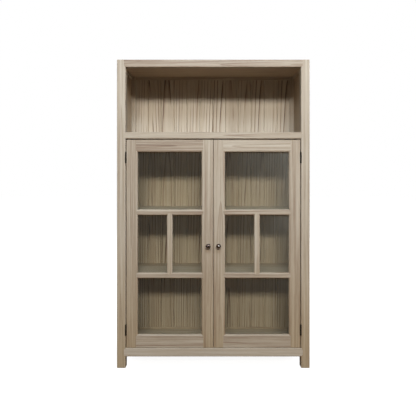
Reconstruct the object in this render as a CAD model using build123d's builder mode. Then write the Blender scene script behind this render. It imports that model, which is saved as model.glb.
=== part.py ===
from build123d import *
import math
import os

# Two-door glazed display cabinet in pale bleached elm. The origin is on the floor, under the middle
# of the cabinet's box with its knobs; the front faces -Y, +X is to the right and +Z is up.

# Overall carcass
width = 1000.0
depth = 400.0
height = 1600.0
post = 45.0
rail_depth = 30.0

# Feet, rails and the open compartment
foot_height = 59.0
bottom_rail_height = 45.0
mid_rail_height = 35.0
top_rail_height = 39.0
compartment_height = 337.0

# Shaping of the members
arris = 5.0
outer_arris = 2.5
mitre = 9.0
foot_chamfer = 2.0
tenon_length = 22.0
tenon_thickness = 10.0
tenon_inset = 9.0
side_tenon_length = 14.0

# Panels and boards
panel_thickness = 11.0
panel_recess = 22.0
groove_depth = 8.0
board_count = 12
board_thickness = 12.0
board_pitch = 76.0
board_lap = 6.0
board_play = 0.4
board_bevel = 3.0
back_recess = 22.0
side_rail_width = 30.0

# Shelves, deck, top and bottom
deck_thickness = 20.0
top_thickness = 22.0
shelf_thickness = 20.0
bottom_panel_drop = 9.0
shelf_lower_rise = 376.0
shelf_upper_drop = 371.0
bearer_height = 22.0

# Doors
door_thickness = 24.0
hinge_gap = 3.0
meeting_gap = 2.0
door_bottom_gap = 2.0
door_top_gap = 5.0
stile_width = 60.0
door_top_rail = 63.5
door_bottom_rail = 68.0
bar_width = 30.0
bar_depth = 12.0
bar_round = 8.0
frame_round = 8.0
bar_upper_drop = 376.5
bar_lower_rise = 373.5
rebate_width = 10.0
glass_thickness = 4.0
glass_play = 0.5

# Knobs
knob_diameter = 26.0
knob_projection = 34.0
rose_diameter = 18.0
rose_height = 3.0
neck_diameter = 11.0
knob_rise = 529.0
knob_from_edge = 26.0
knob_screw_diameter = 4.0
knob_screw_head = 8.0
knob_screw_head_depth = 2.5
knob_screw_grip = 9.0

# Butt hinges
hinge_length = 52.0
finial_height = 4.0
knuckle_diameter = 8.0
pin_diameter = 4.0
pin_clearance = 0.05
knuckle_play = 0.3
centre_knuckle = 20.0
leaf_thickness = 2.0
leaf_width = 25.0
leaf_relief = 0.5
hinge_offset = 92.0
axis_proud = 2.0
screw_diameter = 3.0
screw_head = 6.0
screw_head_depth = 1.2
screw_length = 14.0
screw_spacing = 30.0
hole_clearance = 0.1

# Catch
stop_half_width = 70.0
stop_height = 48.0
stop_depth = 18.0
magnet_diameter = 12.0
magnet_length = 14.0
magnet_proud = 5.5
magnet_x = 34.0
plate_width = 22.0
plate_height = 16.0
plate_thickness = 1.5

# Derived levels
bottom_rail_top = foot_height + bottom_rail_height
top_rail_bottom = height - top_rail_height
mid_rail_top = top_rail_bottom - compartment_height
mid_rail_bottom = mid_rail_top - mid_rail_height
bottom_panel_top = bottom_rail_top - bottom_panel_drop
shelf_lower_top = bottom_rail_top + shelf_lower_rise
shelf_upper_top = mid_rail_bottom - shelf_upper_drop

# Derived positions
half_width = width / 2
post_inner = half_width - post
front = knob_projection - (depth + knob_projection) / 2
back = front + depth
front_post_back = front + post
back_post_front = back - post
rail_back = front + rail_depth
back_rail_front = back - rail_depth
panel_inner = post_inner + panel_recess
panel_outer = panel_inner + panel_thickness
side_rail_inner = half_width - side_rail_width
board_front = back_post_front + back_recess
board_back = board_front + board_thickness
door_back = front + door_thickness
glass_front = front + bar_depth
glass_back = glass_front + glass_thickness
door_bottom = bottom_rail_top + door_bottom_gap
door_top = mid_rail_bottom - door_top_gap
door_outer = post_inner - hinge_gap
door_inner = meeting_gap / 2
bar_upper_z = door_top - bar_upper_drop
bar_lower_z = door_bottom + bar_lower_rise
knob_z = door_bottom + knob_rise
sight_outer = door_outer - stile_width
sight_inner = door_inner + stile_width
sight_bottom = door_bottom + door_bottom_rail
sight_top = door_top - door_top_rail
axis_x = post_inner - hinge_gap / 2
axis_y = front - axis_proud
hinge_z = [door_bottom + hinge_offset, door_top - hinge_offset]
knob_x = door_inner + knob_from_edge
knob_radius = knob_diameter / 2
knob_centre = knob_projection - knob_radius
stop_bottom = mid_rail_top - deck_thickness - stop_height
magnet_z = door_top - 14

os.makedirs("parts", exist_ok=True)


def save(part, label):
    part.label = label
    export_step(part, f"parts/{label}.step")


def block(x, y, z, mode=Mode.ADD):
    """A box between pairs of limits in X, Y and Z."""
    size = (abs(x[1] - x[0]), abs(y[1] - y[0]), abs(z[1] - z[0]))
    with Locations((sum(x) / 2, sum(y) / 2, sum(z) / 2)):
        Box(size[0], size[1], size[2], mode=mode)


def rod(centre, radius, length, direction, mode=Mode.ADD):
    """A cylinder about a centre, along one axis."""
    turn = {"X": (0, 90, 0), "Y": (90, 0, 0), "Z": (0, 0, 0)}[direction]
    with Locations(centre):
        Cylinder(radius, length, rotation=turn, mode=mode)


def rail_outline(x, z, low, high):
    """Outline of a rail whose rounded arrises end in mitres that run into the upright."""
    points = []
    if low:
        points += [(x[0], z[0]), (x[1], z[0]), (x[1] + mitre, z[0] + mitre)]
    else:
        points += [(x[0] - mitre, z[0]), (x[1] + mitre, z[0])]
    if high:
        points += [(x[1] + mitre, z[1] - mitre), (x[1], z[1]), (x[0], z[1]), (x[0] - mitre, z[1] - mitre)]
    else:
        points += [(x[1] + mitre, z[1]), (x[0] - mitre, z[1])]
    if low:
        points += [(x[0] - mitre, z[0] + mitre)]
    return points


def rail_shape(x, z, y, low, high, mode=Mode.ADD):
    """The outline carried through the thickness between two limits in Y."""
    with BuildSketch(Plane.XZ.offset(-y[1])) as outline:
        Polygon(*rail_outline(x, z, low, high), align=None)
    extrude(outline.sketch, amount=y[1] - y[0], mode=mode)


def rail_tenons(x, y_mid, z, mode=Mode.ADD):
    """A stub tenon beyond the mitred shoulder at both ends of a rail."""
    span = (y_mid - tenon_thickness / 2, y_mid + tenon_thickness / 2)
    high = (z[0] + tenon_inset, z[1] - tenon_inset)
    for end, way in ((x[1] + mitre, 1), (x[0] - mitre, -1)):
        block((end, end + way * tenon_length), span, high, mode=mode)


def side_tenons(side, z, mode=Mode.ADD):
    """The stub tenons of a side rail, inside the front and back posts."""
    across = (side * (panel_inner + 3), side * (panel_outer + 2))
    high = (z[0] + 10, z[1] - 10)
    block(across, (front_post_back - side_tenon_length, front_post_back), high, mode=mode)
    block(across, (back_post_front, back_post_front + side_tenon_length), high, mode=mode)


# The rails of the carcass: limits in X and Z
span_x = (-post_inner, post_inner)
top_z = (top_rail_bottom, height)
mid_z = (mid_rail_bottom, mid_rail_top)
low_z = (foot_height, bottom_rail_top)
front_y = (front, rail_back)
back_y = (back_rail_front, back)
front_mid = front + rail_depth / 2
back_mid = back - rail_depth / 2
front_rails = {
    "top_rail_front": (top_z, True, False),
    "mid_rail_front": (mid_z, True, True),
    "bottom_rail_front": (low_z, True, True),
}
back_rails = {"top_rail_back": top_z, "bottom_rail_back": low_z}
side_levels = {"top": top_z, "mid": mid_z, "bottom": low_z}

for name, (level, low, high) in front_rails.items():
    with BuildPart() as rail:
        rail_shape(span_x, level, front_y, low, high)
        face_edges = rail.edges().filter_by(Axis.X).group_by(Axis.Y)[0]
        if high:
            fillet(face_edges, arris)
        else:
            fillet(face_edges.sort_by(Axis.Z)[:1], arris)
            fillet(rail.edges().filter_by(Axis.X).group_by(Axis.Y)[0].sort_by(Axis.Z)[-1:], outer_arris)
        rail_tenons(span_x, front_mid, level)
    save(rail.part, name)

for name, level in back_rails.items():
    with BuildPart() as rail:
        rail_shape(span_x, level, back_y, False, False)
        rail_tenons(span_x, back_mid, level)
        if level == top_z:
            groove = (level[0], level[0] + groove_depth)
        else:
            groove = (level[1] - groove_depth, level[1])
        block((-width, width), (board_front, board_back), groove, mode=Mode.SUBTRACT)
    save(rail.part, name)

for side_name, side in (("left", -1), ("right", 1)):
    for level_name, level in side_levels.items():
        with BuildPart() as rail:
            block((side * side_rail_inner, side * half_width), (front_post_back, back_post_front), level)
            panel_x = (side * panel_inner, side * panel_outer)
            if level_name != "top":
                top_groove = (level[1] - groove_depth, level[1])
                block(panel_x, (front, back), top_groove, mode=Mode.SUBTRACT)
            if level_name != "bottom":
                low_groove = (level[0], level[0] + groove_depth)
                block(panel_x, (front, back), low_groove, mode=Mode.SUBTRACT)
            side_tenons(side, level)
        save(rail.part, f"{level_name}_rail_{side_name}")

    panel_y = (front_post_back - groove_depth, back_post_front + groove_depth)
    panels = {
        "upper": (mid_rail_top - groove_depth, top_rail_bottom + groove_depth),
        "lower": (bottom_rail_top - groove_depth, mid_rail_bottom + groove_depth),
    }
    for panel_name, level in panels.items():
        with BuildPart() as panel:
            block((side * panel_inner, side * panel_outer), panel_y, level)
        save(panel.part, f"side_panel_{panel_name}_{side_name}")


def screw_centres(z):
    return [(axis_y + axis_proud + 14, z - screw_spacing / 2), (axis_y + axis_proud + 14, z + screw_spacing / 2)]


def leaf_recess(side, face, into, mode=Mode.SUBTRACT):
    """The shallow seat of a hinge leaf in an edge, with the pilot holes of its screws."""
    for z in hinge_z:
        reach = (side * face, side * (face + into * leaf_thickness))
        block(reach, (front, front + leaf_width), (z - hinge_length / 2, z + hinge_length / 2), mode=mode)
        for y, level in screw_centres(z):
            middle = side * (face + into * screw_length / 2)
            rod((middle, y, level), screw_diameter / 2 + hole_clearance, screw_length + 1, "X", mode=mode)


# The four posts, whose lower ends are the feet
for side_name, side in (("left", -1), ("right", 1)):
    for row in ("front", "back"):
        y = (front, front_post_back) if row == "front" else (back_post_front, back)
        face = 0 if row == "front" else -1
        with BuildPart() as leg:
            block((side * post_inner, side * half_width), y, (0, height))
            uprights = leg.edges().filter_by(Axis.Z).group_by(Axis.Y)[face].sort_by(Axis.X)
            inner_edge = uprights[-1] if side < 0 else uprights[0]
            outer_edge = uprights[0] if side < 0 else uprights[-1]
            if row == "front":
                fillet([inner_edge], arris)
                outer_edges = leg.edges().filter_by(Axis.Z).group_by(Axis.Y)[0].sort_by(Axis.X)
                fillet([outer_edges[0] if side < 0 else outer_edges[-1]], outer_arris)
            else:
                fillet([outer_edge], outer_arris)
            chamfer(leg.edges().group_by(Axis.Z)[0], foot_chamfer)
            if row == "front":
                for level, low, high in front_rails.values():
                    rail_shape(span_x, level, front_y, low, high, mode=Mode.SUBTRACT)
                    rail_tenons(span_x, front_mid, level, mode=Mode.SUBTRACT)
                groove_y = (y[1] - groove_depth, y[1])
                leaf_recess(side, post_inner, 1)
            else:
                for level in back_rails.values():
                    rail_shape(span_x, level, back_y, False, False, mode=Mode.SUBTRACT)
                    rail_tenons(span_x, back_mid, level, mode=Mode.SUBTRACT)
                groove_y = (y[0], y[0] + groove_depth)
                board_x = (side * post_inner, side * (post_inner + groove_depth))
                board_z = (bottom_rail_top - groove_depth, top_rail_bottom + groove_depth)
                block(board_x, (board_front, board_back), board_z, mode=Mode.SUBTRACT)
            for level in side_levels.values():
                side_tenons(side, level, mode=Mode.SUBTRACT)
            panel_z = (bottom_rail_top - groove_depth, top_rail_bottom + groove_depth)
            block((side * panel_inner, side * panel_outer), groove_y, panel_z, mode=Mode.SUBTRACT)
        save(leg.part, f"post_{row}_{side_name}")


def notched_board(half, y, z, name, front_notch):
    """A horizontal board between the side frames, cut around the posts."""
    with BuildPart() as board:
        block((-half, half), y, z)
        for side in (-1, 1):
            if front_notch:
                block((side * post_inner, side * width), (front, front_post_back), z, mode=Mode.SUBTRACT)
            if y[1] > back_post_front:
                block((side * post_inner, side * width), (back_post_front, back), z, mode=Mode.SUBTRACT)
    save(board.part, name)


notched_board(side_rail_inner, (rail_back, back_rail_front), (height - top_thickness, height), "top_panel", True)
notched_board(
    side_rail_inner, (rail_back, board_front), (mid_rail_top - deck_thickness, mid_rail_top), "deck_panel", True
)
notched_board(
    side_rail_inner,
    (rail_back, back_rail_front),
    (bottom_panel_top - shelf_thickness, bottom_panel_top),
    "bottom_panel",
    True,
)
for name, level in (("shelf_upper", shelf_upper_top), ("shelf_lower", shelf_lower_top)):
    notched_board(panel_inner, (front_post_back, board_front), (level - shelf_thickness, level), name, False)

with BuildPart() as bearers:
    for side in (-1, 1):
        for level in (shelf_upper_top, shelf_lower_top):
            top = level - shelf_thickness
            run = (front_post_back, back_post_front)
            block((side * post_inner, side * panel_inner), run, (top - bearer_height, top))
save(bearers.part, "shelf_bearers")

# The back: upright boards lapped over one another, with a vee where they meet
board_low = bottom_rail_top - groove_depth
board_high = top_rail_bottom + groove_depth
with BuildPart() as boards:
    for number in range(board_count):
        left = (number - board_count / 2) * board_pitch + board_play / 2
        right = left + board_pitch - board_play
        lap_left = left + board_lap
        lap_right = right + board_lap
        if number == 0:
            left = -post_inner - groove_depth
            lap_left = left
        if number == board_count - 1:
            right = post_inner + groove_depth
            lap_right = right
        half = (board_front + board_back) / 2
        outline = [(left, half), (left, board_front + board_bevel), (left + board_bevel, board_front)]
        outline += [(right - board_bevel, board_front), (right, board_front + board_bevel), (right, half + 0.2)]
        if number < board_count - 1:
            outline += [(lap_right, half + 0.2), (lap_right, board_back)]
        else:
            outline += [(right, board_back)]
        if number > 0:
            outline += [(lap_left, board_back), (lap_left, half)]
        else:
            outline += [(left, board_back)]
        with BuildSketch(Plane.XY.offset(board_low)):
            Polygon(*outline, align=None)
        extrude(amount=board_high - board_low)
save(boards.part, "back_boards")

# Catch at the top of the doors
magnet_back = rail_back - magnet_proud + magnet_length
magnet_y = (rail_back - magnet_proud + magnet_back) / 2
stop_z = (stop_bottom, stop_bottom + stop_height)
with BuildPart() as stop:
    block((-stop_half_width, stop_half_width), (rail_back, rail_back + stop_depth), stop_z)
    for side in (-1, 1):
        rod((side * magnet_x, magnet_y, magnet_z), magnet_diameter / 2, magnet_length, "Y", mode=Mode.SUBTRACT)
save(stop.part, "door_stop")

with BuildPart() as magnets:
    for side in (-1, 1):
        rod((side * magnet_x, magnet_y, magnet_z), magnet_diameter / 2, magnet_length, "Y")
save(magnets.part, "catch_magnets")


def hinge_leaf(side, z, face, into, centre):
    """One leaf with its knuckles and two counterbored screw holes."""
    reach = (side * face, side * (face + into * leaf_thickness))
    block(reach, (axis_y, front + leaf_width), (z - hinge_length / 2, z + hinge_length / 2))
    for y, level in screw_centres(z):
        mid = side * (face + into * leaf_thickness / 2)
        rod((mid, y, level), screw_diameter / 2 + hole_clearance, leaf_thickness * 2, "X", mode=Mode.SUBTRACT)
        head = side * (face + into * screw_head_depth / 2)
        rod((head, y, level), screw_head / 2 + hole_clearance, screw_head_depth, "X", mode=Mode.SUBTRACT)
    inner = centre_knuckle / 2
    gap = inner + knuckle_play
    hub = (side * axis_x, axis_y)
    around = (side * axis_x - knuckle_diameter, side * axis_x + knuckle_diameter)
    swept = (axis_y - knuckle_diameter, axis_y + knuckle_diameter / 2 + leaf_relief)
    if centre:
        for cut in ((inner, hinge_length), (-hinge_length, -inner)):
            block(around, swept, (z + cut[0], z + cut[1]), mode=Mode.SUBTRACT)
        rod((hub[0], hub[1], z), knuckle_diameter / 2, centre_knuckle, "Z")
        rod((hub[0], hub[1], z), pin_diameter / 2 + pin_clearance, centre_knuckle, "Z", mode=Mode.SUBTRACT)
    else:
        block(around, swept, (z - gap, z + gap), mode=Mode.SUBTRACT)
        outer = hinge_length / 2
        for way in (-1, 1):
            middle = z + way * (gap + outer) / 2
            rod((hub[0], hub[1], middle), knuckle_diameter / 2, outer - gap, "Z")
            rod((hub[0], hub[1], middle), pin_diameter / 2, outer - gap, "Z", mode=Mode.SUBTRACT)


def wood_screws(side, face, into):
    """Slotted screws of one leaf, driven into the wood behind it."""
    for z in hinge_z:
        for y, level in screw_centres(z):
            head = side * (face + into * screw_head_depth / 2)
            rod((head, y, level), screw_head / 2, screw_head_depth, "X")
            shank = side * (face + into * (screw_head_depth + screw_length) / 2)
            rod((shank, y, level), screw_diameter / 2, screw_length - screw_head_depth, "X")
            slot = (side * face, side * (face + into * 0.6))
            block(slot, (y - screw_head, y + screw_head), (level - 0.4, level + 0.4), mode=Mode.SUBTRACT)


with BuildPart() as frame_leaves:
    for side in (-1, 1):
        for z in hinge_z:
            hinge_leaf(side, z, post_inner, 1, False)
save(frame_leaves.part, "hinge_frame_leaves")

with BuildPart() as pins:
    for side in (-1, 1):
        for z in hinge_z:
            rod((side * axis_x, axis_y, z), pin_diameter / 2, hinge_length, "Z")
            for way in (-1, 1):
                tip = z + way * (hinge_length / 2 + finial_height / 2)
                turn = (0, 0, 0) if way > 0 else (180, 0, 0)
                with Locations((side * axis_x, axis_y, tip)):
                    Cone(knuckle_diameter / 2, 1.2, finial_height, rotation=turn)
save(pins.part, "hinge_pins")

with BuildPart() as frame_screws:
    for side in (-1, 1):
        wood_screws(side, post_inner, 1)
save(frame_screws.part, "hinge_frame_screws")

# The doors
door_y = (front, door_back)
door_rails = {
    "rail_top": ((sight_top, door_top), True, False),
    "rail_bottom": ((door_bottom, sight_bottom), False, True),
}
bars = {
    "bar_upper": (bar_upper_z - bar_width / 2, bar_upper_z + bar_width / 2),
    "bar_lower": (bar_lower_z - bar_width / 2, bar_lower_z + bar_width / 2),
}
bar_y = (front, glass_front)
rebate_y = (glass_front, door_back)
door_mid = front + 10
light_z = (bars["bar_lower"][1], bars["bar_upper"][0])
light_x = (sight_inner + sight_outer) / 2



def muntin_shape(x, mode=Mode.ADD):
    """The short upright bar of the middle light, mitred into the bars above and below it."""
    low, high = light_z
    points = [(x[0], low), (x[0] + mitre, low - mitre), (x[1] - mitre, low - mitre), (x[1], low)]
    points += [(x[1], high), (x[1] - mitre, high + mitre), (x[0] + mitre, high + mitre), (x[0], high)]
    with BuildSketch(Plane.XZ.offset(-glass_front)) as outline:
        Polygon(*points, align=None)
    extrude(outline.sketch, amount=bar_depth, mode=mode)


for side_name, side in (("left", -1), ("right", 1)):
    sight_x = tuple(sorted((side * sight_inner, side * sight_outer)))
    rebate_x = (sight_x[0] - rebate_width, sight_x[1] + rebate_width)
    rebate_z = (sight_bottom - rebate_width, sight_top + rebate_width)
    muntin_x = (side * light_x - bar_width / 2, side * light_x + bar_width / 2)
    knob_at = (side * knob_x, knob_z)
    plate_x = (side * magnet_x - plate_width / 2, side * magnet_x + plate_width / 2)
    plate_y = (door_back - plate_thickness, door_back)
    plate_z = (magnet_z - plate_height / 2, magnet_z + plate_height / 2)

    stiles = {"stile_hinge": (sight_outer, door_outer), "stile_meeting": (sight_inner, door_inner)}
    for stile_name, (sight_edge, far_edge) in stiles.items():
        with BuildPart() as stile:
            block((side * sight_edge, side * far_edge), door_y, (door_bottom, door_top))
            uprights = stile.edges().filter_by(Axis.Z).group_by(Axis.Y)[0].sort_by(Axis.X)
            inner_first = side * sight_edge < side * far_edge
            inner_edge = uprights[0] if inner_first else uprights[-1]
            fillet([inner_edge], frame_round)
            uprights = stile.edges().filter_by(Axis.Z).group_by(Axis.Y)[0].sort_by(Axis.X)
            far = uprights[-1] if inner_first else uprights[0]
            fillet([far], arris if stile_name == "stile_hinge" else outer_arris)
            for level, low, high in door_rails.values():
                rail_shape(sight_x, level, door_y, low, high, mode=Mode.SUBTRACT)
                rail_tenons(sight_x, door_mid, level, mode=Mode.SUBTRACT)
            for level in bars.values():
                rail_shape(sight_x, level, bar_y, True, True, mode=Mode.SUBTRACT)
            block(rebate_x, rebate_y, rebate_z, mode=Mode.SUBTRACT)
            if stile_name == "stile_hinge":
                leaf_recess(side, door_outer, -1)
            else:
                shank = knob_screw_diameter / 2 + hole_clearance
                rod((knob_at[0], front, knob_at[1]), shank, door_thickness * 3, "Y", mode=Mode.SUBTRACT)
                head = (knob_at[0], door_back - knob_screw_head_depth / 2, knob_at[1])
                head_radius = knob_screw_head / 2 + hole_clearance
                rod(head, head_radius, knob_screw_head_depth, "Y", mode=Mode.SUBTRACT)
                block(plate_x, plate_y, plate_z, mode=Mode.SUBTRACT)
        save(stile.part, f"door_{side_name}_{stile_name}")

    for rail_name, (level, low, high) in door_rails.items():
        with BuildPart() as rail:
            rail_shape(sight_x, level, door_y, low, high)
            long_edges = rail.edges().filter_by(Axis.X).group_by(Axis.Y)[0].sort_by(Axis.Z)
            sight_edge = long_edges[0] if low else long_edges[-1]
            fillet([sight_edge], frame_round)
            rail_tenons(sight_x, door_mid, level)
            block(rebate_x, rebate_y, rebate_z, mode=Mode.SUBTRACT)
        save(rail.part, f"door_{side_name}_{rail_name}")

    for bar_name, level in bars.items():
        with BuildPart() as bar:
            rail_shape(sight_x, level, bar_y, True, True)
            fillet(bar.edges().filter_by(Axis.X).group_by(Axis.Y)[0], bar_round)
            muntin_shape(muntin_x, mode=Mode.SUBTRACT)
        save(bar.part, f"door_{side_name}_{bar_name}")

    with BuildPart() as muntin:
        muntin_shape(muntin_x)
        fillet(muntin.edges().filter_by(Axis.Z).group_by(Axis.Y)[0], bar_round)
    save(muntin.part, f"door_{side_name}_muntin")

    with BuildPart() as glass:
        pane_x = (rebate_x[0] + glass_play, rebate_x[1] - glass_play)
        pane_z = (rebate_z[0] + glass_play, rebate_z[1] - glass_play)
        block(pane_x, (glass_front, glass_back), pane_z)
    save(glass.part, f"door_{side_name}_glass")

    with BuildPart() as beads:
        bead_y = (glass_back, door_back)
        block(rebate_x, bead_y, (rebate_z[0], sight_bottom))
        block(rebate_x, bead_y, (sight_top, rebate_z[1]))
        block((rebate_x[0], sight_x[0]), bead_y, (sight_bottom + glass_play, sight_top - glass_play))
        block((sight_x[1], rebate_x[1]), bead_y, (sight_bottom + glass_play, sight_top - glass_play))
    save(beads.part, f"door_{side_name}_glazing_beads")

    with BuildPart() as knob:
        neck = neck_diameter / 2
        rose = rose_diameter / 2
        meet = knob_centre - math.sqrt(knob_radius**2 - neck**2)
        with BuildSketch(Plane(origin=(knob_at[0], front, knob_at[1]), x_dir=(0, -1, 0), z_dir=(1, 0, 0))):
            with BuildLine():
                Polyline((0, 0), (0, rose), (rose_height, rose - 1), (rose_height + 2, neck), (meet, neck))
                ThreePointArc((meet, neck), (knob_centre, knob_radius), (knob_projection, 0))
                Line((knob_projection, 0), (0, 0))
            make_face()
        revolve(axis=Axis((knob_at[0], front, knob_at[1]), (0, -1, 0)))
        bore = (knob_at[0], front - knob_screw_grip / 2, knob_at[1])
        rod(bore, knob_screw_diameter / 2, knob_screw_grip, "Y", mode=Mode.SUBTRACT)
    save(knob.part, f"door_{side_name}_knob")

    with BuildPart() as knob_screw:
        shank_length = door_thickness + knob_screw_grip - knob_screw_head_depth
        shank_middle = front - knob_screw_grip + shank_length / 2
        rod((knob_at[0], shank_middle, knob_at[1]), knob_screw_diameter / 2, shank_length, "Y")
        head_middle = door_back - knob_screw_head_depth / 2
        rod((knob_at[0], head_middle, knob_at[1]), knob_screw_head / 2, knob_screw_head_depth, "Y")
        slot_x = (knob_at[0] - knob_screw_head, knob_at[0] + knob_screw_head)
        slot_z = (knob_at[1] - 0.5, knob_at[1] + 0.5)
        block(slot_x, (door_back - 0.8, door_back), slot_z, mode=Mode.SUBTRACT)
    save(knob_screw.part, f"door_{side_name}_knob_screw")

    with BuildPart() as door_leaves:
        for z in hinge_z:
            hinge_leaf(side, z, door_outer, -1, True)
    save(door_leaves.part, f"door_{side_name}_hinge_leaves")

    with BuildPart() as door_screws:
        wood_screws(side, door_outer, -1)
    save(door_screws.part, f"door_{side_name}_hinge_screws")

    with BuildPart() as strike:
        block(plate_x, plate_y, plate_z)
    save(strike.part, f"door_{side_name}_strike_plate")
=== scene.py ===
import math
import random

import bpy
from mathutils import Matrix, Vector


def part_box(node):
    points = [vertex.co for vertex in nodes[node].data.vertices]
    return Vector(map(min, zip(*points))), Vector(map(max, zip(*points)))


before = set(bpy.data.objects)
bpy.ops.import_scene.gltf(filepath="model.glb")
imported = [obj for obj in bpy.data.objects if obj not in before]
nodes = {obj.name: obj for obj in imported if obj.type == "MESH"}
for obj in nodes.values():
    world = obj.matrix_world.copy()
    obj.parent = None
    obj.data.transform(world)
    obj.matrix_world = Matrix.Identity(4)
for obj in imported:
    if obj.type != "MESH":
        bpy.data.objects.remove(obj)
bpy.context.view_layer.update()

# Sizes in metres
FRONT = -0.183  # the face of the front frame
BACK_BOARD = 0.076  # from one joint of the back boards to the next
PANEL_BOARD = 0.11  # the boards that a side panel is glued up from
SHELF_BOARD = 0.115  # the boards of a shelf, the deck, the bottom or the top


class Value:
    """A socket's value that can be used in an ordinary sum."""

    def __init__(self, finish, socket):
        self.finish = finish
        self.socket = socket

    def _with(self, operation, first, second=None):
        sockets = {0: first} if second is None else {0: first, 1: second}
        return self.finish.add("ShaderNodeMath", {"operation": operation}, sockets)[0]

    def __add__(self, other):
        return self._with("ADD", self, other)

    def __radd__(self, other):
        return self._with("ADD", other, self)

    def __sub__(self, other):
        return self._with("SUBTRACT", self, other)

    def __rsub__(self, other):
        return self._with("SUBTRACT", other, self)

    def __mul__(self, other):
        return self._with("MULTIPLY", self, other)

    def __rmul__(self, other):
        return self._with("MULTIPLY", other, self)

    def __truediv__(self, other):
        return self._with("DIVIDE", self, other)

    def __pow__(self, other):
        return self._with("POWER", self, other)

    def plain(self, operation):
        return self._with(operation, self)

    def clamped(self):
        return self.finish.add("ShaderNodeClamp", {}, {"Value": self})[0]


class Finish:
    """A material, or the world, built from nodes."""

    def __init__(self, owner):
        owner.use_nodes = True
        self.owner = owner
        self.tree = owner.node_tree
        self.tree.nodes.clear()

    def add(self, kind, settings, sockets):
        """One node with its settings and what goes into its sockets; gives its outputs."""
        node = self.tree.nodes.new(kind)
        for name, value in settings.items():
            if name == "stops":
                ramp = node.color_ramp
                while len(ramp.elements) < len(value):
                    ramp.elements.new(0.5)
                for element, (place, colour) in zip(ramp.elements, value):
                    element.position = place
                    element.color = colour
            else:
                setattr(node, name, value)
        for name, value in sockets.items():
            if isinstance(value, Value):
                self.tree.links.new(value.socket, node.inputs[name])
            else:
                node.inputs[name].default_value = value
        outputs = {i: Value(self, s) for i, s in enumerate(node.outputs)}
        outputs.update({s.name: Value(self, s) for s in node.outputs})
        return outputs

    def place(self):
        """The point's x, y and z on the closed cabinet."""
        whole = self.add("ShaderNodeTexCoord", {}, {})["Object"]
        parts = self.add("ShaderNodeSeparateXYZ", {}, {0: whole})
        return parts[0], parts[1], parts[2]

    def noise(self, point, detail=2.0, roughness=0.55):
        where = self.add("ShaderNodeCombineXYZ", {}, dict(enumerate(point)))[0]
        sockets = {"Vector": where, "Scale": 1.0, "Detail": detail, "Roughness": roughness}
        return self.add("ShaderNodeTexNoise", {"noise_dimensions": "3D"}, sockets)[0]

    def mix(self, share, first, second, how="MIX"):
        settings = {"data_type": "RGBA", "blend_type": how}
        return self.add("ShaderNodeMix", settings, {0: share, 6: first, 7: second})[2]

    def ramp(self, value, stops):
        return self.add("ShaderNodeValToRGB", {"stops": stops}, {0: value})[0]

    def soft_edge(self, radius):
        """The normal with rounded edges, and how far it is turned there, which is 0 on a flat."""
        rounded = self.add("ShaderNodeBevel", {"samples": 4}, {"Radius": radius})[0]
        flat = self.add("ShaderNodeNewGeometry", {}, {})["Normal"]
        settings = {"operation": "DOT_PRODUCT"}
        same = self.add("ShaderNodeVectorMath", settings, {0: rounded, 1: flat})["Value"]
        return rounded, 1.0 - same

    def bump(self, height, strength, depth, normal):
        sockets = {"Height": height, "Strength": strength, "Distance": depth, "Normal": normal}
        return self.add("ShaderNodeBump", {}, sockets)[0]

    def surface(self, shader):
        kind = "World" if isinstance(self.owner, bpy.types.World) else "Material"
        self.add("ShaderNodeOutput" + kind, {}, {0: shader})


def rgb(*parts):
    """A colour written as 0-255 display values, as the linear colour that a shader takes."""
    linear = (((p / 255 + 0.055) / 1.055) ** 2.4 if p > 10 else p / 255 / 12.92 for p in parts)
    return (*linear, 1.0)


def give(node, material):
    piece = nodes[node]
    for place in piece.material_slots:
        place.material = material
    if not piece.material_slots:
        piece.data.materials.append(material)


# The colours of the wood from dark to light: bleached, and a darker, browner copy that paints the
# shade inside the cabinet onto the side and top panels
BLEACHED = [
    (0.00, rgb(82, 58, 45)),
    (0.25, rgb(140, 117, 98)),
    (0.50, rgb(182, 168, 149)),
    (0.75, rgb(201, 191, 176)),
    (1.00, rgb(217, 211, 201)),
]
SHADE_BROWNER = [
    (0.00, rgb(72, 48, 34)),
    (0.25, rgb(126, 99, 76)),
    (0.50, rgb(169, 148, 123)),
    (0.75, rgb(190, 174, 152)),
    (1.00, rgb(208, 197, 179)),
]
# The colour of rubbed edges, which also paints the highlight where an arris catches the light
RUBBED_AND_LIT_EDGE_COLOUR = rgb(206, 194, 172)
# The tint of the painted shade low down on the uprights
LOW_SHADE_COLOUR = (0.9, 0.83, 0.7, 1.0)

# How much lighter or darker single pieces are than their neighbours: top_rail_front and
# door_left_rail_top are darkened as painted shade, side_panel_upper_left is lightened as painted
# light from the right, and the rest is the pieces' own tone
PIECE_TONES_AND_PAINTED_LIGHT = {
    "top_rail_front": -0.09,
    "bottom_rail_front": 0.12,
    "door_left_rail_top": -0.1,
    "door_right_rail_top": 0.06,
    "side_panel_upper_left": 0.14,
}

# Features to the metre, across the fibres and along them
FIBRES = (900.0, 16.0)
STREAKS = (95.0, 1.6)
CLOUDS = (16.0, 2.5)
WANDERING = (6.0, 1.1)

# What chance may do to a piece: where its grain starts, and how its heart lies, in metres or shares
GRAIN_STARTS = (2, 60)
BOARD_STARTS = 47.0
LEAN = 0.008
HEART_SHARES = (0.2, 1.5)
HEART_WANDER = 0.7

# The tone of plain wood, and how far each of these moves it
MIDTONE = 0.52
CLOUD_TONE = 0.32
FIBRE_TONE = 0.3
PORE_TONE = 0.2
BOARD_TONE = 0.14

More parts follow.
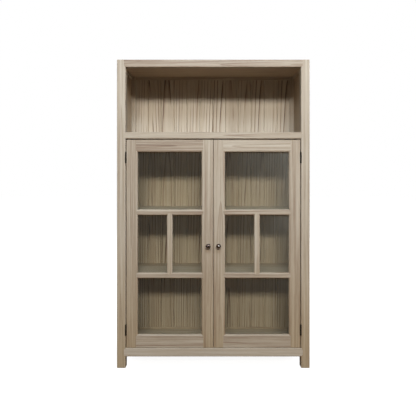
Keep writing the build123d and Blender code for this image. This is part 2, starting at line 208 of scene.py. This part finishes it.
# Where each of these sets in, and how sharply
PATCH_START, PATCH_GAIN = 0.42, 5.0
PORE_START, PORE_GAIN = 0.62, 9.0
LOW_SHADE_FROM, LOW_SHADE_GAIN = 0.7, 1.6
FLANK_GAIN = 7.0
EDGE_WEAR_AND_LIGHT_GAIN = 7.0
EDGE_WEAR_AND_LIGHT_PATCHES = 1.6
RING_EDGE = 6.0  # the higher, the thinner a ring's dark line
RING_BASE = 0.3  # how dark that line is at the streaks' darkest
APEX = 0.28  # how much of it is left at the top of an arch

WORN_AND_LIT_EDGE_SHARE = 0.55
WOOD_ROUGHNESS = 0.55
FIBRE_ROUGHNESS = 0.25
WORN_POLISH = 0.08
WOOD_EDGE = 0.0014  # the radius of an edge, and the depth of the pores
WOOD_RELIEF = 0.0005
FLAT_FACE = 3  # a face this much wider than it is thick is the wide one


def axes(grain, size):
    """The axes along the fibres, across the piece's wide face and into it."""
    if grain == "x":
        return (0, 1, 2) if size[1] > FLAT_FACE * size[2] else (0, 2, 1)
    if grain == "y":
        return 1, 2, 0
    return (2, 1, 0) if size[1] > FLAT_FACE * size[0] else (2, 0, 1)


def elm(
    node,
    grain,
    pitch=0.0,
    spacing=0.009,
    heart=0.025,
    slope=0.012,
    stray=0.4,
    figure=0.3,
    streaks=0.75,
    tone=0.0,
    tones=BLEACHED,
    low_shade=0.0,
):
    """Bleached elm, with growth rings that come out as arches, streaks, pores and rubbed edges,
    whose lightening is also a painted highlight on the arrises.

    The fibres run along the axis grain, and boards of the width pitch lie side by side. Rings are
    spacing apart round the heart, which lies under the face, sinks by slope along the piece and
    strays sideways from one board to the next. figure and streaks say how dark these two are.
    """
    low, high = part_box(node)
    middle = [(a + b) / 2 for a, b in zip(low, high)]
    size = [b - a for a, b in zip(low, high)]
    # the piece's own tone, and for a few pieces painted light or shade
    tone = tone + PIECE_TONES_AND_PAINTED_LIGHT.get(node, 0.0)
    chance = random.Random(node)
    finish = Finish(bpy.data.materials.new("elm " + node.replace("_", " ")))
    place = finish.place()
    along, across, deep = (place[i] - middle[i] for i in axes(grain, size))
    shift = chance.uniform(*GRAIN_STARTS)
    lean = chance.uniform(-LEAN, LEAN)
    if pitch:
        # The back boards have a joint in the middle, and the others have a board there
        start = 0.0 if node == "back_boards" else 0.5
        number = (across / pitch + start).plain("FLOOR")
        across = across - (number + (0.5 - start)) * pitch
        settings = {"noise_dimensions": "1D"}
        luck = finish.add("ShaderNodeTexWhiteNoise", settings, {"W": number + shift})[0]
        shift = luck * BOARD_STARTS + shift
        lean = (luck - 0.5) * pitch * stray
        tone = (luck - 0.5) * BOARD_TONE + tone
    else:
        heart = heart * chance.uniform(*HEART_SHARES)
        slope = slope * chance.choice((-1, 1))

    def grained(counts, detail, roughness=0.55):
        wide, long = counts
        point = (across * wide + shift, deep * wide, along * long)
        return finish.noise(point, detail, roughness)

    pith = heart + slope * along + (grained(WANDERING, 2.0) - 0.5) * heart * HEART_WANDER
    side = across - lean
    radius = (side * side + pith * pith).plain("SQRT")
    flank = (side.plain("ABSOLUTE") / radius * FLANK_GAIN).clamped()
    ring = (radius / spacing).plain("FRACT") ** RING_EDGE * (flank * (1.0 - APEX) + APEX)
    fibre = grained(FIBRES, 2.0, 0.7)
    streak = grained(STREAKS, 4.0, 0.72)
    cloud = grained(CLOUDS, 3.0)
    patch = ((cloud - PATCH_START) * PATCH_GAIN).clamped()
    pores = ((fibre - PORE_START) * PORE_GAIN).clamped()

    value = MIDTONE + (streak - 0.5) * streaks + (cloud - 0.5) * CLOUD_TONE
    value = value - ring * patch * (streak + RING_BASE) * figure + tone
    value = value + (fibre - 0.5) * FIBRE_TONE - pores * PORE_TONE
    colour = finish.ramp(value.clamped(), tones)
    # Painted shade: darker and browner towards the floor, for the light that falls off low down
    if low_shade:
        share = ((LOW_SHADE_FROM - place[2]) * LOW_SHADE_GAIN).clamped() * low_shade
        colour = finish.mix(share, colour, LOW_SHADE_COLOUR, "MULTIPLY")
    rounded, turned = finish.soft_edge(WOOD_EDGE)
    # Lighter edges: rubbed wear, and a painted highlight on the arrises
    worn_and_lit_edge = (turned * EDGE_WEAR_AND_LIGHT_GAIN).clamped() * (cloud * EDGE_WEAR_AND_LIGHT_PATCHES).clamped()
    colour = finish.mix(worn_and_lit_edge * WORN_AND_LIT_EDGE_SHARE, colour, RUBBED_AND_LIT_EDGE_COLOUR)
    rough = WOOD_ROUGHNESS + (fibre - 0.5) * FIBRE_ROUGHNESS - worn_and_lit_edge * WORN_POLISH
    height = fibre * 0.6 + streak * 0.6 - ring * 0.5 - pores
    sockets = {"Base Color": colour, "Roughness": rough, "Specular IOR Level": 0.45}
    sockets["Normal"] = finish.bump(height, 0.5, WOOD_RELIEF, rounded)
    finish.surface(finish.add("ShaderNodeBsdfPrincipled", {}, sockets)[0])
    return finish.owner


METAL_PATCHES = 160.0  # to the metre, as is the next
METAL_SKIN = 1500.0
METAL_EDGE = 0.0008  # the radius of an edge, and the depth of the skin
METAL_RELIEF = 0.0002


def metal(name, dark, bright, roughness, wear, lacquer=0.0):
    """Dark metal with brighter rubbed patches, a fine cast skin and, where asked, lacquer."""
    finish = Finish(bpy.data.materials.new(name))
    place = finish.place()
    patches = finish.noise([p * METAL_PATCHES for p in place], 4.0)
    skin = finish.noise([p * METAL_SKIN for p in place], 2.0)
    rounded, turned = finish.soft_edge(METAL_EDGE)
    rubbed = (((patches - 0.5) * 4.0 + turned * 6.0).clamped() * wear).clamped()
    sockets = {
        "Base Color": finish.mix(rubbed, dark, bright),
        "Metallic": 0.9,
        "Roughness": roughness + (patches - 0.5) * 0.2 - rubbed * 0.1,
        "Normal": finish.bump(skin, 0.2, METAL_RELIEF, rounded),
        "Coat Weight": lacquer,
        "Coat Roughness": 0.05,
        "Coat IOR": 1.8,
    }
    finish.surface(finish.add("ShaderNodeBsdfPrincipled", {}, sockets)[0])
    return finish.owner


GLASS_TINT = (0.935, 0.93, 0.895, 1.0)
DUST_AND_REFLECTION_COLOUR = (0.72, 0.70, 0.63, 1.0)
REFLECTION_FROM_X, REFLECTION_GAIN_X = 0.08, 2.6  # the painted reflection comes in from here to the right and upwards
REFLECTION_FROM_Z, REFLECTION_GAIN_Z = 0.3, 1.1
PAINTED_REFLECTION_SHARE = 0.16
DUST_SHARE = 0.02
LEAST_SHEEN = 0.004
SLANT_SHARE = 0.8


def pane():
    """Clear float glass that light goes straight through, with a slight tint, a film of dust, and a
    painted reflection of the studio over the right pane's upper right.
    """
    finish = Finish(bpy.data.materials.new("float glass"))
    x, y, z = finish.place()
    dust_and_reflection_film = finish.noise((x * 9.0, y * 9.0, z * 5.0), 4.0)
    clear = finish.add("ShaderNodeBsdfTransparent", {}, {"Color": GLASS_TINT})[0]
    sockets = {"Base Color": DUST_AND_REFLECTION_COLOUR, "Roughness": 0.03, "IOR": 1.5}
    sheen = finish.add("ShaderNodeBsdfPrincipled", {}, sockets)[0]
    slant = finish.add("ShaderNodeFresnel", {}, {"IOR": 1.2})[0]
    # Painted reflection of the studio: a lit film over the right pane's upper right
    right = ((x - REFLECTION_FROM_X) * REFLECTION_GAIN_X).clamped()
    painted_reflection = right * ((z - REFLECTION_FROM_Z) * REFLECTION_GAIN_Z).clamped()
    share = slant * SLANT_SHARE + LEAST_SHEEN + dust_and_reflection_film * DUST_SHARE + painted_reflection * dust_and_reflection_film * PAINTED_REFLECTION_SHARE
    sockets = {0: share.clamped(), 1: clear, 2: sheen}
    finish.surface(finish.add("ShaderNodeMixShader", {}, sockets)[0])
    return finish.owner


bronze = metal("antique bronze", rgb(68, 50, 43), rgb(160, 130, 108), 0.2, 0.6, 1.0)
iron = metal("dark waxed iron", rgb(27, 23, 21), rgb(70, 62, 56), 0.5, 0.25)
steel = metal("plated steel", rgb(150, 150, 152), rgb(190, 190, 192), 0.35, 0.4)
glass = pane()

back_cut = {"pitch": BACK_BOARD, "spacing": 0.0135, "heart": 0.03, "slope": 0.03, "stray": 3.0}
back_look = {"figure": 1.15, "streaks": 0.7, "tone": 0.03}
wide_cut = {"spacing": 0.012, "slope": 0.02}
SHELVES = ("deck_panel", "shelf_upper", "shelf_lower", "bottom_panel")
UPRIGHTS = ("post", "stile", "muntin")
SIDE_RAILS = ("rail_left", "rail_right")


def wood(node):
    """The elm of one piece, from what kind of piece its name says it is."""
    if node == "back_boards":
        return elm(node, "z", **back_cut, **back_look)
    # The side and top panels take the darker copy of the wood, as painted shade
    if node.startswith("side_panel"):
        return elm(node, "z", PANEL_BOARD, **wide_cut, figure=0.6, tone=0.04, tones=SHADE_BROWNER)
    if node == "top_panel":
        return elm(node, "x", SHELF_BOARD, **wide_cut, figure=0.6, tones=SHADE_BROWNER)
    if node in SHELVES:
        return elm(node, "x", SHELF_BOARD, **wide_cut, figure=0.5, tone=0.06)
    if any(word in node for word in UPRIGHTS):
        # uprights take the painted shade low down
        return elm(node, "z", tone=-0.06 if "stile" in node else 0.02, low_shade=1.0)
    if node.endswith(SIDE_RAILS) or node == "shelf_bearers":
        return elm(node, "y")
    return elm(node, "x", slope=0.02, figure=0.5, tone=-0.06 if "door" in node else -0.04)


for node in nodes:
    if node.endswith("_glass"):
        give(node, glass)
    elif node.endswith("_knob"):
        give(node, bronze)
    elif node.endswith(("strike_plate", "magnets", "knob_screw")):
        give(node, steel)
    elif "hinge_" in node:
        give(node, iron)
    else:
        give(node, wood(node))

# Light: a long softbox high up far in front, aimed over the top so that it fades towards the feet;
# a nearer one, a small one from the right, and two behind for the sides and back
MIDDLE = Vector((0.0, 0.0, 0.9))
ABOVE_TOP = Vector((0.2, 0.0, 2.1))
UPPER_FRONT = Vector((0.0, -0.1, 1.3))
DOORS = Vector((0.0, 0.0, 1.2))
WARM = (1.0, 0.96, 0.875)
COOL = (0.76, 0.93, 1.12)
SIDE_WHITE = (1.0, 0.985, 0.95)
BACK_WHITE = (1.0, 0.98, 0.95)


def softbox(name, place, size, watts, colour, aim=MIDDLE, spread=180):
    data = bpy.data.lights.new(name, "AREA")
    data.shape = "RECTANGLE"
    data.size, data.size_y = size
    data.energy = watts
    data.color = colour
    data.spread = math.radians(spread)
    lamp = bpy.data.objects.new(name, data)
    lamp.location = place
    lamp.rotation_euler = (aim - Vector(place)).to_track_quat("-Z", "Y").to_euler()
    bpy.context.scene.collection.objects.link(lamp)


softbox("key softbox", (0.2, FRONT - 8.3, 4.35), (3.6, 0.9), 68, WARM, ABOVE_TOP, 60)
softbox("near softbox", (0.2, FRONT - 2.0, 2.9), (1.6, 0.5), 41, COOL, UPPER_FRONT)
softbox("side softbox", (3.2, FRONT - 2.6, 2.6), (0.6, 0.8), 30, SIDE_WHITE, DOORS)
softbox("left back softbox", (-3.6, 3.6, 2.6), (1.5, 2.0), 170, BACK_WHITE)
softbox("right back softbox", (3.6, 3.6, 2.6), (1.5, 2.0), 170, BACK_WHITE)

# A white studio for the camera and through glass. Reflections see it brighter behind the cabinet
# than in front, and it lights the pieces hardly at all
WHITE = (1, 1, 1, 1)
DIMMEST = 0.2
AMBIENT = 0.005
world = bpy.data.worlds.new("studio")
bpy.context.scene.world = world
sky = Finish(world)
ray = sky.add("ShaderNodeLightPath", {}, {})
direction = sky.add("ShaderNodeTexCoord", {}, {})["Generated"]
backward = sky.add("ShaderNodeSeparateXYZ", {}, {0: direction})[1]
behind = ((backward + 0.35) * 2.0).clamped() * (1.0 - DIMMEST) + DIMMEST
seen = ray["Is Camera Ray"] + ray["Is Transmission Ray"] + ray["Is Glossy Ray"] * behind
strength = seen.clamped() * (1.0 - AMBIENT) + AMBIENT
sockets = {"Color": WHITE, "Strength": strength}
sky.surface(sky.add("ShaderNodeBackground", {}, sockets)[0])

# A white floor that the camera sees darkened only where the cabinet shades it; to all other rays
# it is matt and brown, so little light comes up from it
FLOOR_BROWN = (0.235, 0.135, 0.078, 1.0)
FLOOR_PAPER = (0.3, 0.3, 0.3, 1.0)
GLOW_NEAR = 0.93
bpy.ops.mesh.primitive_plane_add(size=40, location=(0, 0, 0))
floor = bpy.context.object
floor.name = "studio floor"
ground = Finish(bpy.data.materials.new("white studio floor"))
px, py = ground.place()[:2]
away = ((px * px + py * py).plain("SQRT") / 2.4 - 0.4).clamped()
matt = ground.add("ShaderNodeBsdfDiffuse", {}, {"Color": FLOOR_BROWN})[0]
paper = ground.add("ShaderNodeBsdfDiffuse", {}, {"Color": FLOOR_PAPER})[0]
sockets = {"Color": WHITE, "Strength": away * (1.0 - GLOW_NEAR) + GLOW_NEAR}
glow = ground.add("ShaderNodeEmission", {}, sockets)[0]
shown = ground.add("ShaderNodeAddShader", {}, {0: paper, 1: glow})[0]
camera_ray = ground.add("ShaderNodeLightPath", {}, {})["Is Camera Ray"]
ground.surface(ground.add("ShaderNodeMixShader", {}, {0: camera_ray, 1: matt, 2: shown})[0])
floor.data.materials.append(ground.owner)

# The camera, fitted to the photograph
EYE = (-0.0275, FRONT - 2.70, 1.004)
DROP = 33.5 / 416  # how far the picture's middle lies under the eye, as a share of its width
camera = bpy.data.cameras.new("camera")
camera.lens = 45.06
camera.sensor_width = 36
camera.shift_y = -DROP
camera_object = bpy.data.objects.new("camera", camera)
camera_object.location = EYE
camera_object.rotation_euler = (math.pi / 2, 0, 0)
bpy.context.scene.collection.objects.link(camera_object)
bpy.context.scene.camera = camera_object
bpy.context.scene.view_settings.view_transform = "Standard"
